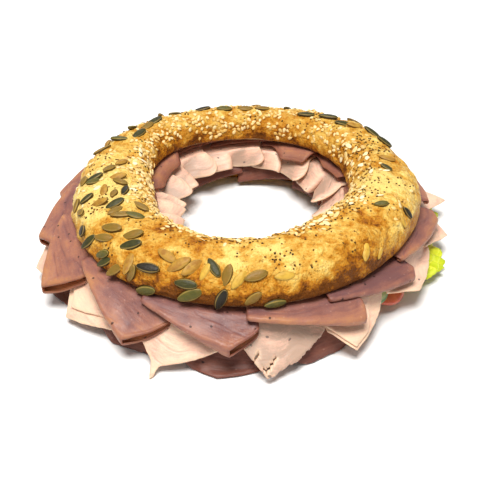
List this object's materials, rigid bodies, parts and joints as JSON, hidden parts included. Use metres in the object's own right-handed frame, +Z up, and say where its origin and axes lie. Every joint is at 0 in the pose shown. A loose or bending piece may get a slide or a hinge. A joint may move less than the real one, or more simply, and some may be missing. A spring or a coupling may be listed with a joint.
{
  "type": "bagel sandwich",
  "caption": "Large ring-shaped bagel sandwich: seeded golden crown, folded dark and pale ham slices hanging past the bread, lettuce, tomato and cucumber, on a plain base half.",
  "frame": {"origin": "centre of the bounding box's bottom face, on the surface the sandwich rests on", "axes": "+Z up through the ring's hole, -Y towards the side seen from the front, +X to its right"},
  "size_m": [0.2231, 0.2051, 0.0509],
  "materials": {
    "crust": "baked golden crust with orange-brown patches and seeds",
    "bread": "matte baked crust and pale crumb",
    "dark_ham": "moist dusty pink-brown smoked ham with an orange-brown rind",
    "light_ham": "moist pale pink cooked ham with fine specks",
    "lower_ham": "moist dark red-brown smoked ham",
    "lettuce": "waxy yellow-green leaf",
    "tomato": "wet orange-red flesh",
    "cucumber": "wet pale green flesh with darker skin"
  },
  "bodies": {
    "root": {"crown": "crust", "base": "bread", "dark_ham_01": "dark_ham", "dark_ham_02": "dark_ham", "dark_ham_03": "dark_ham", "dark_ham_04": "dark_ham", "dark_ham_05": "dark_ham", "dark_ham_06": "dark_ham", "dark_ham_07": "dark_ham", "dark_ham_08": "dark_ham", "dark_ham_09": "dark_ham", "dark_ham_10": "dark_ham", "dark_ham_11": "dark_ham", "dark_ham_12": "dark_ham", "dark_ham_13": "dark_ham", "light_ham_01": "light_ham", "light_ham_02": "light_ham", "light_ham_03": "light_ham", "light_ham_04": "light_ham", "light_ham_05": "light_ham", "light_ham_06": "light_ham", "light_ham_07": "light_ham", "light_ham_08": "light_ham", "light_ham_09": "light_ham", "light_ham_10": "light_ham", "light_ham_11": "light_ham", "light_ham_12": "light_ham", "light_ham_13": "light_ham", "light_ham_14": "light_ham", "lower_ham_01": "lower_ham", "lower_ham_02": "lower_ham", "lower_ham_03": "lower_ham", "lower_ham_04": "lower_ham", "lower_ham_05": "lower_ham", "lower_ham_06": "lower_ham", "lower_ham_07": "lower_ham", "lettuce_01": "lettuce", "lettuce_02": "lettuce", "lettuce_03": "lettuce", "lettuce_04": "lettuce", "lettuce_05": "lettuce", "lettuce_06": "lettuce", "lettuce_07": "lettuce", "tomato_01": "tomato", "cucumber_01": "cucumber"}
  },
  "joints": []
}
